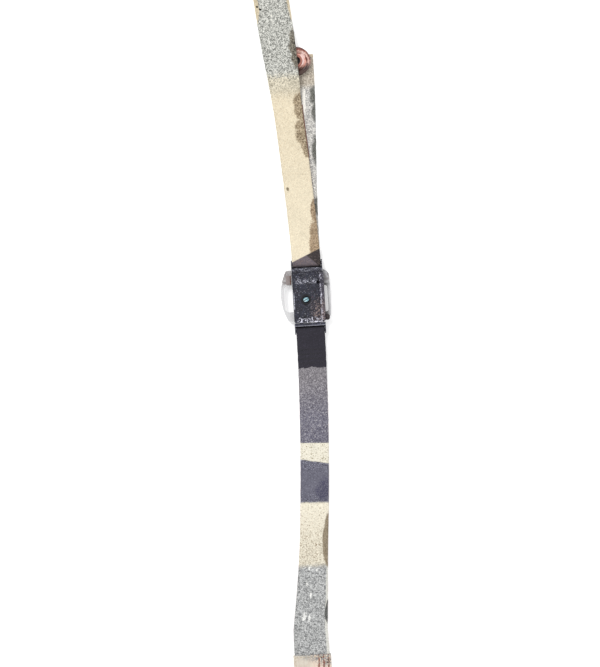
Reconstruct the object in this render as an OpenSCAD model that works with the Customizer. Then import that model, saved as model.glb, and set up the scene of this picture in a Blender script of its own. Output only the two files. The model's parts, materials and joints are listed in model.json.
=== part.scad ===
// Camouflage webbing waist strap with a side-release steel buckle, lying flat.
//
// Frame: the strap lies on the plane z = 0 with its face up, +Y runs along the buckle towards the
// adjustable run, +X is to the right seen from above, and the origin is on the buckle's bottom face,
// midway along the housing.

/* [Webbing] */
// Width of the webbing at the buckle
webbing_w = 25; // [22:0.5:25]
// Width of the webbing where it enters the end tabs
webbing_end_w = 31; // [28:0.5:31]
// Thickness of the webbing
webbing_t = 1.6; // [1.4:0.1:1.6]
// Thickness of the leather lining
lining_t = 1.0; // [0.8:0.1:1.0]
// How far the upper run has swung to the left at its end
upper_sway = 17; // [8:1:18]
// How far the lower run has swung to the left at its end
lower_sway = 16; // [8:1:18]
// How far the loose tail has swung to the right at its end
tail_sway = 4.4; // [2:0.2:4.4]

/* [Buckle] */
// Width of the housing
housing_w = 27.2; // [27:0.1:28]
// Length of the housing
housing_len = 48; // [46:0.5:48]
// Thickness of the housing
housing_t = 10; // [9.8:0.1:10]
// Radius of the two webbing bars
bar_r = 1.6; // [1.4:0.1:1.6]
// How far the left bow's outer edge stands from the buckle's centre line
left_bow_reach = 24.1; // [23.6:0.1:24.5]
// How far the right bow's outer edge stands from the buckle's centre line
right_bow_reach = 19.6; // [19:0.1:20]

/* [Ring and end tabs] */
// Outer radius of the pull ring
ring_r = 12.8; // [11.6:0.2:12.8]
// Radius of the bore in each end loop
loop_bore_r = 2.8; // [2.5:0.1:2.8]
// Width of the end tabs
tab_w = 33; // [33:0.5:34]

/* [Hidden] */
$fn = 64;
eps = 0.01;
far = 60;                                // longer than any cut it is used in

// How each run swings aside and widens: where it starts, over what length, and how fast it bends
upper_sway_len = 234;
upper_sway_bend = 1.35;
tail_sway_len = 170;
tail_sway_bend = 1.5;
lower_sway_len = 262;
lower_sway_bend = 1.9;
upper_widen_y = 150;
upper_widen_len = 90;
lower_widen_y = 210;
lower_widen_len = 110;

// Buckle levels and stations
half_w = housing_w / 2;
housing_corner_r = 1.5;
housing_top_y = 25.5;
housing_low_y = housing_top_y - housing_len;
bar_y = 29.4;                            // both bars are this far from the origin
bar_z = 4.5;
bar_gap = 0.08;                          // running clearance of the webbing on a bar
cheek_in = 12.7;
cheek_out = 13.6;
cheek_r = 3.1;
flap_len = 1.5;                          // a ledge that closes the gap below the webbing's turn
flap_t = 0.7;
cavity_half_w = 9.3;
cavity_z0 = 3.0;
cavity_z1 = 6.8;
cavity_top_y = 7;
lip_h = 0.9;
lip_len = 3.6;
lip_inset = 1;

// Cover plate and its screw
cover_x0 = -12.4;
cover_x1 = 9.2;
cover_y0 = -17.6;
cover_y1 = 18.8;
cover_t = 0.9;
cover_corner_r = 2.0;
screw_x = -2.3;
screw_y = -2.4;
screw_r = 1.45;
screw_bore_r = 1.5;
screw_head_r = 2.7;
screw_boss_r = 3.2;
screw_seat = 0.3;                        // height of the washer's floor, under the screw's head
screw_head_t = 1.0;
screw_chamfer = 0.5;
screw_slot_half = 0.35;
screw_slot_floor = 0.4;
screw_slot_turn = 25;
washer_r = 4.6;
washer_lip_t = 0.5;
washer_chamfer = 0.3;
dish_r = 3.7;
dish_in_r = 3.1;
dish_gap = 0.05;

// Lock on the right edge
lock_x = 12.0;
lock_z = 9.0;
barrel_r = 2.2;
barrel_gap = 0.05;
barrel_end_gap = 0.2;
barrel_wall = 1.5;                       // its closed top end
rod_r = 1.3;
rod_gap = 0.06;
rod_end_gap = 0.5;
barrel_y0 = -21;
barrel_y1 = 21;
ear_y0 = 11.3;                           // the right bow's ear stands between these stations
ear_y1 = 13.0;
ear_slot_y0 = 10.9;
ear_slot_y1 = 13.4;
ear_half_w = 2.1;
ear_gap = 0.5;
ear_rise = 1.1;                          // height of its arm over the lock's axis and over the bow
arm_t = 2.1;
lock_travel = 4;
knob_x = 15.3;
knob_y = -18.5;
knob_r = 2.6;
knob_half_t = 1.1;
knob_chamfer = 0.5;
knob_crown = 1.3;
stem_r = 0.9;
stem_slot_half = 1.2;

// Bows: a flat steel frame with a window, round corners and a slightly curved outer edge
bow_z0 = 2.4;
bow_z1 = 5.9;
bow_y0 = -20.8;
bow_y1 = 23.8;
bow_in_x = half_w + 0.25;
bow_corner_r = 7.5;
bow_curve = 5.6;                         // how far the left bow's outer edge bends over its length
right_bow_curve = 1.2;
bow_travel = 1.8;
bow_gap = 0.35;                          // around a bow where it enters the housing
left_window = [21.2, -12.5, 10.4, 4];    // outer edge, lower end, upper end and corner radius
right_window = [16.9, -13.5, 9.6, 2];
lug_places = [-17.5, 20.5];              // the catches inside the housing
lug_w = 2.6;
lug_tip_x = 11.5;
pad_t = 0.8;
pad_r = 0.8;
leaf_t = 0.5;
leaf_h = 1.0;
leaf_x = half_w + 1;
leaf_y0 = 11.4;
leaf_y1 = 19.4;
grip_x0 = leaf_x + leaf_t + 0.1;
grip_x1 = 18.9;

// Tongue
prong_x0 = 6.0;
prong_x1 = 9.0;
prong_top_y = 4.0;
flange_half_w = 13.4;
flange_y0 = -25.5;
flange_y1 = -22.8;
flange_z0 = 0.3;
flange_z1 = 9.4;
prong_z0 = 3.3;
prong_z1 = 6.5;
prong_taper = 1.2;
prong_taper_len = 4;
prong_root = 0.5;                        // depth of each prong in the flange

// Levels of the strap's layers
loop_r = bar_r + bar_gap + webbing_t;
tail_z = 0.1;
lining_z = 1.9;
front_z = lining_z + lining_t;
far_z = 1.0;
arch_z = 7.4;

tail_t_gap = 0.1;                        // the post's shank ends this far above the tail

// Stations along the upper run
front_low_y = 60;
front_rise_y0 = 172;                     // the front run climbs over the ring and comes down again
front_rise_y1 = 193;
front_drop_y0 = 221;
front_drop_y1 = 242;
front_top_y = 289;
tail_low_y = 48;
upper_lining_y0 = 62;
upper_lining_y1 = 170;
lining_overhang = 0.8;
tail_end_y = 210.4;
binding_end_y = 213;
ring_x = 1.8;
ring_y = 207;

// Stations along the lower run
fold_y = -42;
fold_z = 1.7;
bartack_rows = [-46, -50, -54, -58];
bartack_half_len = 10;
bartack_half_w = 0.6;
bartack_t = 0.4;
fold_end_y = -62;
lower_lining_y0 = -74;
lower_lining_y1 = -311;
lower_flat_y = -72;
lower_end_y = -344;

// End tabs
tab_t = 3.8;
upper_tab_y0 = 265;
upper_tab_y1 = 299;
lower_tab_y0 = -314;
lower_tab_y1 = -352;
tab_loop_r = 4.4;
tab_loop_gap = 6;                        // from the tab's straight end to the loop's centre
pocket_gap = 0.05;
rivet_r = 1.2;
rivet_gap = 0.04;
rivet_head_r = 2.6;
rivet_head_t = 0.8;
rivet_x = 9;
rivet_foot = 0.2;
rivet_crown_r = 1.8;
upper_rivet_rows = [270, 283];
lower_rivet_rows = [-330, -341];
binding_overhang = 0.2;

// Ring and its post
ring_z0 = 2.3;
ring_z1 = 7.0;
ring_bore_r = 4.9;
ring_core_r = 4.6;                       // inner edge of its round section, before it is bored
post_r = 4.8;
post_shank_r = 3.0;
post_foot_r = 5.5;
post_foot_t = 0.4;
post_lip_r = 5.3;
post_lip_z = 6.65;
post_top_z = 7.05;
post_top_r = 5.2;
post_cup_r = 3.4;
post_cup_z = 3.4;

// Where the centre of each run lies, and its half width, at a station y
function smooth(t) = let (u = min(1, max(0, t))) u * u * (3 - 2 * u);
function upper_x(y) = -upper_sway * pow(max(0, y - bar_y) / upper_sway_len, upper_sway_bend);
function tail_x(y) = tail_sway * pow(smooth((y - bar_y) / tail_sway_len), tail_sway_bend);
function lower_x(y) =
    -lower_sway * pow(min(1, max(0, -y - bar_y) / lower_sway_len), lower_sway_bend);
function widen(t) = (webbing_w + (webbing_end_w - webbing_w) * smooth(t)) / 2;
function upper_half(y) = widen((y - upper_widen_y) / upper_widen_len);
function lower_half(y) = widen((-y - lower_widen_y) / lower_widen_len);
function steps(a, b, n) = [for (i = [0:n]) a + (b - a) * i / n];

// Stations at which the runs' edges are drawn
station_0 = 20;
UPPER_STATIONS = concat(steps(station_0, 280, 16), [front_top_y]);
TAIL_STATIONS = concat(steps(station_0, 200, 9), [tail_end_y, binding_end_y]);
LOWER_STATIONS = concat(steps(-station_0, -320, 15), [lower_end_y]);

// ---- Shapes that several parts share ----

// A prism whose outline is drawn in the YZ plane, centred on x
module across(w) {
    translate([-w / 2, 0, 0]) rotate([90, 0, 90]) linear_extrude(w) children();
}

// A cylinder along X between two places
module rod_x(x0, x1, y, z, r) {
    translate([x0, y, z]) rotate([0, 90, 0]) cylinder(h = x1 - x0, r = r);
}

// A cylinder along Y between two stations
module rod_y(x, z, y0, y1, r) {
    translate([x, y0, z]) rotate([-90, 0, 0]) cylinder(h = y1 - y0, r = r);
}

// A block between two corners
module block(a, b) {
    translate(a) cube(b - a);
}

// A flat plate with round corners, between two corners of its outline
module plate(x0, y0, x1, y1, z0, z1, r) {
    block([x0 + r, y0, z0], [x1 - r, y1, z1]);
    block([x0, y0 + r, z0], [x1, y1 - r, z1]);
    for (x = [x0 + r, x1 - r], y = [y0 + r, y1 - r])
        translate([x, y, z0]) cylinder(h = z1 - z0, r = r);
}

// ---- Housing ----

// The openings in the housing's side that a bow's frame and its catches move in
module bow_slots(side, window, top_z) {
    deep = half_w - bow_travel - bow_gap;
    mirror([side < 0 ? 1 : 0, 0, 0]) {
        for (y = lug_places)
            block([cavity_half_w, y - lug_w / 2 - bow_gap, bow_z0 - bow_gap],
                  [half_w + 1, y + lug_w / 2 + bow_gap, bow_z1 + bow_gap]);
        block([deep, bow_y0 - bow_gap, bow_z0 - bow_gap],
              [half_w + 1, window[1] + bow_gap, bow_z1 + bow_gap]);
        block([deep, window[2] - bow_gap, bow_z0 - bow_gap],
              [half_w + 1, bow_y1 + bow_gap, top_z + bow_gap]);
    }
}

module housing_shell() {
    color("#33343c") difference() {
        union() {
            plate(-half_w, housing_low_y, half_w, housing_top_y, 0, housing_t, housing_corner_r);
            // raised lips across both ends
            block([-half_w + lip_inset, housing_top_y - lip_len, housing_t - eps],
                  [cover_x1, housing_top_y, housing_t + lip_h]);
            block([-half_w + lip_inset, housing_low_y, housing_t - eps],
                  [cover_x1, housing_low_y + lip_len, housing_t + lip_h]);
            for (side = [-1, 1]) top_cheek(side);
            block([-cheek_in, housing_top_y - 1, 0], [cheek_in, housing_top_y + flap_len, flap_t]);
        }
        // the tongue's cavity, around the screw's boss
        difference() {
            block([-cavity_half_w, housing_low_y - 1, cavity_z0],
                  [cavity_half_w, cavity_top_y, cavity_z1]);
            translate([screw_x, screw_y, 0]) cylinder(h = housing_t, r = screw_boss_r);
        }
        translate([screw_x, screw_y, cavity_z0]) cylinder(h = far, r = screw_bore_r);
        bow_slots(-1, left_window, bow_z1 + leaf_h);
        bow_slots(1, right_window, bow_z1);
        rod_y(lock_x, lock_z, barrel_y0 - barrel_end_gap, barrel_y1 + barrel_end_gap,
              barrel_r + barrel_gap);
        ear_slot();
        rod_x(-far, far, bar_y, bar_z, bar_r);
    }
}

// Where the ear of the right bow crosses the housing and the cover
module ear_slot() {
    block([lock_x - ear_half_w - bow_travel - ear_gap, ear_slot_y0, bow_z1 + ear_rise - bow_gap],
          [half_w + 1, ear_slot_y1, far]);
}

module top_cheek(side) {
    x0 = side > 0 ? cheek_in : -cheek_out;
    rod_x(x0, x0 + cheek_out - cheek_in, bar_y, bar_z, cheek_r);
    block([x0, housing_top_y - cheek_r, bar_z - cheek_r],
          [x0 + cheek_out - cheek_in, bar_y, bar_z + cheek_r]);
}

module cover_plate() {
    color("#3b3d47") difference() {
        plate(cover_x0, cover_y0, cover_x1, cover_y1, housing_t, housing_t + cover_t,
              cover_corner_r);
        translate([screw_x, screw_y, 0]) cylinder(h = far, r = dish_r + dish_gap);
        ear_slot();
    }
}

module cup_washer() {
    floor_z = housing_t + screw_seat;
    rim_z = housing_t + cover_t;
    top_z = rim_z + washer_lip_t;
    color("#24252c") translate([screw_x, screw_y, 0]) rotate_extrude()
        polygon([[screw_bore_r, housing_t], [dish_r, housing_t], [dish_r, rim_z],
                 [washer_r, rim_z], [washer_r - washer_chamfer, top_z], [dish_in_r, top_z],
                 [screw_head_r + dish_gap, floor_z], [screw_bore_r, floor_z]]);
}

module cover_screw() {
    z = housing_t + screw_seat;
    shank_z = cavity_z0 + screw_seat;
    color("#7f9aa0") translate([screw_x, screw_y, 0]) difference() {
        union() {
            translate([0, 0, shank_z]) cylinder(h = z + eps - shank_z, r = screw_r);
            rotate_extrude()
                polygon([[0, z], [screw_head_r, z], [screw_head_r, z + screw_head_t - screw_chamfer],
                         [screw_head_r - screw_chamfer, z + screw_head_t], [0, z + screw_head_t]]);
        }
        rotate([0, 0, screw_slot_turn])
            block([-far, -screw_slot_half, z + screw_slot_floor], [far, screw_slot_half, far]);
    }
}

module lock_barrel() {
    color("#55535f") difference() {
        rod_y(lock_x, lock_z, barrel_y0, barrel_y1, barrel_r);
        rod_y(lock_x, lock_z, barrel_y0 - 1, barrel_y1 - barrel_wall, rod_r + rod_gap);
        block([lock_x - far, ear_slot_y0, 0], [lock_x + far, ear_slot_y1, far]);
        // slot that the knob's stem runs along
        block([lock_x, knob_y - stem_slot_half, lock_z - stem_slot_half],
              [lock_x + far, knob_y + lock_travel + stem_slot_half, lock_z + stem_slot_half]);
    }
}

module top_bar() {
    color("#46474f") rod_x(-cheek_out, cheek_out, bar_y, bar_z, bar_r);
}

// ---- Bows ----

// A frame with its outer edge at reach, and its catches, drawn on the right-hand side
module bow(reach, curve, window) {
    mid_y = (bow_y0 + bow_y1) / 2;
    half_len = (bow_y1 - bow_y0) / 2;
    r = (half_len * half_len + curve * curve) / (2 * curve);
    difference() {
        intersection() {
            plate(0, bow_y0, reach, bow_y1, bow_z0, bow_z1, bow_corner_r);
            translate([reach - r, mid_y, 0]) cylinder(h = far, r = r, $fn = 128);
        }
        plate(-far, window[1], window[0], window[2], 0, far, window[3]);
        block([-far, -far, 0], [bow_in_x, far, far]);
    }
    for (y = lug_places)
        block([lug_tip_x, y - lug_w / 2, bow_z0 + eps], [bow_in_x + 1, y + lug_w / 2, bow_z1 - eps]);
}

module left_bow() {
    color("#8d888a") mirror([1, 0, 0]) bow(left_bow_reach, bow_curve, left_window);
}

// A thin strip along the left bow's inner edge
module left_spring_leaf() {
    color("#8a5f4a") mirror([1, 0, 0])
        block([leaf_x, leaf_y0, bow_z1], [leaf_x + leaf_t, leaf_y1, bow_z1 + leaf_h]);
}

module left_grip() {
    color("#7c7478") mirror([1, 0, 0])
        plate(grip_x0, leaf_y0, grip_x1, leaf_y1, bow_z1, bow_z1 + pad_t, pad_r);
}

module right_bow() {
    arm_x0 = half_w + bow_travel + bow_gap;
    arm_x1 = arm_x0 + arm_t;
    color("#b9b9bb") {
        bow(right_bow_reach, right_bow_curve, right_window);
        // the ear that the lock rod passes through, on its arm
        difference() {
            union() {
                block([lock_x, ear_y0, bow_z1 + ear_rise], [arm_x1, ear_y1, lock_z + ear_rise]);
                rod_y(lock_x, lock_z, ear_y0, ear_y1, ear_half_w);
                block([arm_x0, ear_y0, bow_z0], [arm_x1, ear_y1, lock_z + ear_rise]);
            }
            rod_y(lock_x, lock_z, ear_y0 - 1, ear_y1 + 1, rod_r + rod_gap);
        }
    }
}

// ---- Lock ----

module lock_rod() {
    color("#8a8b90")
        rod_y(lock_x, lock_z, barrel_y0 + rod_end_gap, ear_slot_y0 - barrel_end_gap, rod_r);
}

module lock_knob() {
    top = knob_half_t + knob_crown;
    color("#4b3f3f") {
        difference() {
            rod_x(lock_x, knob_x, knob_y, lock_z, stem_r);
            rod_y(lock_x, lock_z, knob_y - far, knob_y + far, rod_r);
        }
        translate([knob_x, knob_y, lock_z]) rotate([0, 90, 0]) rotate_extrude()
            polygon([[0, -knob_half_t], [knob_r - knob_chamfer, -knob_half_t],
                     [knob_r, knob_chamfer - knob_half_t], [knob_r, knob_half_t],
                     [knob_r - 2 * knob_chamfer, top - knob_chamfer / 2], [0, top]]);
    }
}

// ---- Tongue ----

module tongue_plate() {
    color("#3a3b44") difference() {
        union() {
            block([-flange_half_w, flange_y0, flange_z0], [flange_half_w, flange_y1, flange_z1]);
            block([-cheek_in, flange_y0 - flap_len, flange_z0],
                  [cheek_in, flange_y0 + 1, flange_z0 + flap_t]);
            for (side = [-1, 1]) {
                prong(side);
                low_cheek(side);
            }
        }
        rod_x(-far, far, -bar_y, bar_z, bar_r);
    }
}

module prong(side) {
    inner = side * prong_x0;
    outer = side * prong_x1;
    tip = side * (prong_x1 - prong_taper);
    root_y = flange_y1 - prong_root;
    translate([0, 0, prong_z0]) linear_extrude(prong_z1 - prong_z0)
        polygon([[inner, root_y], [outer, root_y], [outer, prong_top_y - prong_taper_len],
                 [tip, prong_top_y], [inner, prong_top_y]]);
}

module low_cheek(side) {
    x0 = side > 0 ? cheek_in : -cheek_out;
    x1 = x0 + cheek_out - cheek_in;
    rod_x(x0, x1, -bar_y, bar_z, cheek_r);
    block([x0, -bar_y, bar_z - cheek_r], [x1, flange_y1, bar_z + cheek_r]);
}

module bottom_bar() {
    color("#46474f") rod_x(-cheek_out, cheek_out, -bar_y, bar_z, bar_r);
}

// ---- Webbing ----

// The plan outline of a run: its two edges over a list of stations
module run_plan(stations, right, left) {
    n = len(stations) - 1;
    translate([0, 0, -1]) linear_extrude(far)
        polygon(concat([for (i = [0:n]) [right[i], stations[i]]],
                       [for (i = [n:-1:0]) [left[i], stations[i]]]));
}

// The webbing's turn around a bar, on the side away from the buckle's middle
module webbing_turn(y) {
    difference() {
        rod_x(-webbing_w / 2, webbing_w / 2, y, bar_z, loop_r);
        rod_x(-far, far, y, bar_z, bar_r + bar_gap);
        block([-far, y > 0 ? y : -far, bar_z - far], [far, y > 0 ? far : y, bar_z + far]);
    }
}

// The upper front run's level, as [station, height of its lower face]
FRONT_LEVELS = [
    [bar_y, bar_z + loop_r - webbing_t], [front_low_y, front_z], [front_rise_y0, front_z],
    [front_rise_y1, arch_z], [front_drop_y0, arch_z], [front_drop_y1, far_z], [front_top_y, far_z],
];
TAIL_LEVELS = [[bar_y, bar_z - loop_r], [tail_low_y, tail_z], [tail_end_y, tail_z]];
FOLD_LEVELS = [[-bar_y, bar_z - loop_r], [fold_y, fold_z], [fold_end_y, fold_z]];
LOWER_LEVELS = [
    [-bar_y, bar_z + loop_r - webbing_t], [fold_y, fold_z + webbing_t],
    [fold_end_y, fold_z + webbing_t], [lower_flat_y, far_z], [lower_end_y, far_z],
];

// A layer of webbing that follows a list of levels
module layer(levels) {
    n = len(levels) - 1;
    across(2 * far)
        polygon(concat(levels, [for (i = [n:-1:0]) levels[i] + [0, webbing_t]]));
}

module upper_webbing() {
    color("#d8cdb4") difference() {
        union() {
            webbing_turn(bar_y);
            // the front run, over the ring and down into the end tab
            intersection() {
                run_plan(UPPER_STATIONS,
                         [for (y = UPPER_STATIONS) upper_x(y) + upper_half(y)],
                         [for (y = UPPER_STATIONS) upper_x(y) - upper_half(y)]);
                layer(FRONT_LEVELS);
            }
            // the loose tail, coming back under the front run
            intersection() {
                run_plan(TAIL_STATIONS,
                         [for (y = TAIL_STATIONS) tail_x(y) + webbing_w / 2],
                         [for (y = TAIL_STATIONS) tail_x(y) - webbing_w / 2]);
                layer(TAIL_LEVELS);
            }
        }
        // the hole for the ring's post
        translate([ring_x, ring_y, -1]) cylinder(h = lining_z + 1, r = post_shank_r + rivet_gap);
        upper_rivet_holes();
    }
}

module upper_lining() {
    shift = lining_overhang;
    color("#93594e") intersection() {
        run_plan(UPPER_STATIONS,
                 [for (y = UPPER_STATIONS) upper_x(y) + upper_half(y) + shift],
                 [for (y = UPPER_STATIONS) upper_x(y) - upper_half(y) + shift]);
        block([-far, upper_lining_y0, lining_z], [far, upper_lining_y1, lining_z + lining_t - eps]);
    }
}

module tail_binding() {
    half = webbing_w / 2 + binding_overhang;
    color("#6d4b40") intersection() {
        run_plan(TAIL_STATIONS, [for (y = TAIL_STATIONS) tail_x(y) + half],
                 [for (y = TAIL_STATIONS) tail_x(y) - half]);
        block([-far, tail_end_y, tail_z], [far, binding_end_y, tail_z + webbing_t]);
    }
}

module ring_post() {
    tail_top = tail_z + webbing_t;
    color("#2c2622") translate([ring_x, ring_y, 0]) {
        translate([0, 0, tail_z]) cylinder(h = webbing_t + tail_t_gap, r = post_shank_r);
        rotate_extrude()
            polygon([[0, tail_top], [post_foot_r, tail_top], [post_foot_r, tail_top + post_foot_t],
                     [post_r, tail_top + post_foot_t], [post_r, post_lip_z],
                     [post_lip_r, post_lip_z], [post_top_r, post_top_z],
                     [post_cup_r, post_top_z], [post_cup_r, post_cup_z], [0, post_cup_z]]);
    }
}

module pull_ring() {
    tube_r = (ring_z1 - ring_z0) / 2;
    tube_in = ring_core_r + tube_r;
    tube_out = ring_r - tube_r;
    color("#a85f50") translate([ring_x, ring_y, 0]) difference() {
        rotate_extrude() translate([0, ring_z0 + tube_r]) {
            translate([tube_in, 0]) circle(r = tube_r);
            translate([tube_out, 0]) circle(r = tube_r);
            translate([tube_in, -tube_r]) square([tube_out - tube_in, 2 * tube_r]);
        }
        cylinder(h = far, r = ring_bore_r);
    }
}

module lower_webbing() {
    color("#8b8792") difference() {
        union() {
            webbing_turn(-bar_y);
            intersection() {
                run_plan(LOWER_STATIONS,
                         [for (y = LOWER_STATIONS) lower_x(y) + lower_half(y)],
                         [for (y = LOWER_STATIONS) lower_x(y) - lower_half(y)]);
                union() {
                    layer(LOWER_LEVELS);
                    layer(FOLD_LEVELS);
                }
            }
        }
        lower_rivet_holes();
    }
}

module lower_lining() {
    color("#93594e") intersection() {
        run_plan(LOWER_STATIONS,
                 [for (y = LOWER_STATIONS) lower_x(y) + lower_half(y)],
                 [for (y = LOWER_STATIONS) lower_x(y) - lower_half(y)]);
        block([-far, lower_lining_y1, 0], [far, lower_lining_y0, far_z - eps]);
    }
}

module lower_bartack() {
    top = fold_z + 2 * webbing_t;
    color("#4d4b52") for (y = bartack_rows)
        translate([lower_x(y), y, top])
            block([-bartack_half_len, -bartack_half_w, 0],
                  [bartack_half_len, bartack_half_w, bartack_t]);
}

// ---- End tabs ----

// One end tab, where dir is 1 for the upper end and -1 for the lower one
module end_tab(dir, y0, y1, stations, right, left, loop_x) {
    loop_y = y1 + dir * tab_loop_gap;
    difference() {
        union() {
            intersection() {
                run_plan(stations, right, left);
                block([-far, min(y0, y1), 0], [far, max(y0, y1), tab_t]);
            }
            translate([loop_x, 0, 0]) {
                across(tab_w) polygon([[y1 - dir, 0], [y1 - dir, tab_t], [y1, tab_t],
                                       [loop_y, 2 * tab_loop_r], [loop_y, 0]]);
                rod_x(-tab_w / 2, tab_w / 2, loop_y, tab_loop_r, tab_loop_r);
            }
        }
        rod_x(-far, far, loop_y, tab_loop_r, loop_bore_r);
    }
}

module upper_end_tab() {
    stations = [upper_tab_y0 - 1, (upper_tab_y0 + upper_tab_y1) / 2, upper_tab_y1 + 1];
    color("#9a5b4a") difference() {
        end_tab(1, upper_tab_y0, upper_tab_y1, stations,
                [for (y = stations) upper_x(y) + tab_w / 2],
                [for (y = stations) upper_x(y) - tab_w / 2], upper_x(upper_tab_y1 + 1));
        block([-far, upper_tab_y0 - 1, far_z - pocket_gap],
              [far, front_top_y + pocket_gap, far_z + webbing_t + pocket_gap]);
        upper_rivet_holes();
    }
}

module lower_end_tab() {
    stations = [lower_tab_y0 + 1, (lower_tab_y0 + lower_tab_y1) / 2, lower_tab_y1 - 1];
    color("#9a5b4a") difference() {
        end_tab(-1, lower_tab_y0, lower_tab_y1, stations,
                [for (y = stations) lower_x(y) + tab_w / 2],
                [for (y = stations) lower_x(y) - tab_w / 2], lower_x(lower_tab_y1 - 1));
        block([-far, lower_end_y - pocket_gap, far_z - pocket_gap],
              [far, lower_tab_y0 + 1, far_z + webbing_t + pocket_gap]);
        lower_rivet_holes();
    }
}

module upper_rivet_places() {
    for (y = upper_rivet_rows, side = [-1, 1])
        translate([upper_x(y) + side * rivet_x, y, 0]) children();
}

module lower_rivet_places() {
    for (y = lower_rivet_rows, side = [-1, 1])
        translate([lower_x(y) + side * rivet_x, y, 0]) children();
}

module rivet_hole() {
    translate([0, 0, -1]) cylinder(h = far, r = rivet_r + rivet_gap);
}

module rivet() {
    translate([0, 0, rivet_foot]) cylinder(h = tab_t - rivet_foot + eps, r = rivet_r);
    translate([0, 0, tab_t]) rotate_extrude()
        polygon([[0, 0], [rivet_head_r, 0], [rivet_head_r, rivet_head_t / 3],
                 [rivet_crown_r, rivet_head_t], [0, rivet_head_t]]);
}

module upper_rivet_holes() {
    upper_rivet_places() rivet_hole();
}

module lower_rivet_holes() {
    lower_rivet_places() rivet_hole();
}

module upper_end_rivets() {
    color("#a08a70") upper_rivet_places() rivet();
}

module lower_end_rivets() {
    color("#a08a70") lower_rivet_places() rivet();
}

housing_shell();
cover_plate();
cup_washer();
cover_screw();
lock_barrel();
top_bar();
left_bow();
left_spring_leaf();
left_grip();
right_bow();
lock_rod();
lock_knob();
tongue_plate();
bottom_bar();
upper_webbing();
upper_lining();
tail_binding();
ring_post();
pull_ring();
upper_end_tab();
upper_end_rivets();
lower_webbing();
lower_lining();
lower_bartack();
lower_end_tab();
lower_end_rivets();
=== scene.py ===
import json
import math

import bmesh
import bpy
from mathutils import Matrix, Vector, noise

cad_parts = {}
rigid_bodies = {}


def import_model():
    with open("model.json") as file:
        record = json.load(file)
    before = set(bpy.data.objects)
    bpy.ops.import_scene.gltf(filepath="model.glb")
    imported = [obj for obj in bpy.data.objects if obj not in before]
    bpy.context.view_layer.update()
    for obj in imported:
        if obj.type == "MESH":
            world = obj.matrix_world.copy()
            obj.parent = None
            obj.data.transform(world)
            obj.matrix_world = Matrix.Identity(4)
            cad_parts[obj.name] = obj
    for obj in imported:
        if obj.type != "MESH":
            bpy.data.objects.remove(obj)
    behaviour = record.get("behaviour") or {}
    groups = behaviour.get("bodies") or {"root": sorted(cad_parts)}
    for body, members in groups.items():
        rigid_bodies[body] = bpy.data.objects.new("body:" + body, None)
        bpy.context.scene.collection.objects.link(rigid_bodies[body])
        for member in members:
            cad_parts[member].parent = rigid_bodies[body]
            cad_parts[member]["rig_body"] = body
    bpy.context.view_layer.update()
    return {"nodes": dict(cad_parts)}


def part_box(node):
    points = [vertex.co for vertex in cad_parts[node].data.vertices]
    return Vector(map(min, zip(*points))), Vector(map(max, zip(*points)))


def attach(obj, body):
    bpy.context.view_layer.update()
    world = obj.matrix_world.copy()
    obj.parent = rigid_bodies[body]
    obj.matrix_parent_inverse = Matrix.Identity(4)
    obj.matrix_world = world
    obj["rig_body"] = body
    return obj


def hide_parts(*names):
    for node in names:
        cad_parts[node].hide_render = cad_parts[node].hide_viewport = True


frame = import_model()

MM = 0.001                               # every size below is in millimetres, and is scaled by this

# ---- The strap's layout, as the CAD part has it ----

BAR_Y = 29.4
BAR_Z = 4.5
WEB_T = 1.6
TURN_R = 2.48                            # middle of the webbing's thickness as it turns round a bar
TOP_Z = BAR_Z + TURN_R                   # middle of the layer that leaves a turn at its top
LOW_Z = BAR_Z - TURN_R
TAIL_Z = 0.9
FRONT_Z = 3.7
ARCH_Z = 8.2
FAR_Z = 1.8
FOLD_Z = 2.5
TAIL_END = 210.4
UPPER_END = 289
LOWER_END = 344
NARROW = 25
WIDE = 31
# How each run swings aside: how far, over what length, and how fast it bends
UPPER_SWAY = (17, 234, 1.35)
LOWER_SWAY = (16, 262, 1.9)
TAIL_SWAY = (4.4, 170, 1.5)
# Where each run widens: from what distance along Y, and over what length
UPPER_WIDENS = (150, 90)
LOWER_WIDENS = (210, 110)
RING_AT = (1.8, 207)

# Each run's level goes from stop to stop as (distance along Y, middle of the webbing)
TAIL_STOPS = [(BAR_Y, LOW_Z), (48, TAIL_Z), (TAIL_END, TAIL_Z)]
FRONT_STOPS = [(BAR_Y, TOP_Z), (60, FRONT_Z), (172, FRONT_Z), (193, ARCH_Z), (221, ARCH_Z),
               (242, FAR_Z), (UPPER_END, FAR_Z)]
FOLD_END = 62
FOLD_STOPS = [(BAR_Y, LOW_Z), (42, FOLD_Z), (FOLD_END, FOLD_Z)]
LOWER_STOPS = [(BAR_Y, TOP_Z), (42, FOLD_Z + WEB_T), (FOLD_END, FOLD_Z + WEB_T), (76, FAR_Z),
               (LOWER_END, FAR_Z)]

# The linings and the tail's binding: a level, and the stations between which they run
LINING_T = 0.94
UPPER_LINING = (2.4, 63, 171)
LOWER_LINING = (0.5, 76, 311)
LINING_SHIFT = (1.25, 112, 14)           # the upper one moves aside: how far, from where, over what
BINDING_Z = 0.9

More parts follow.
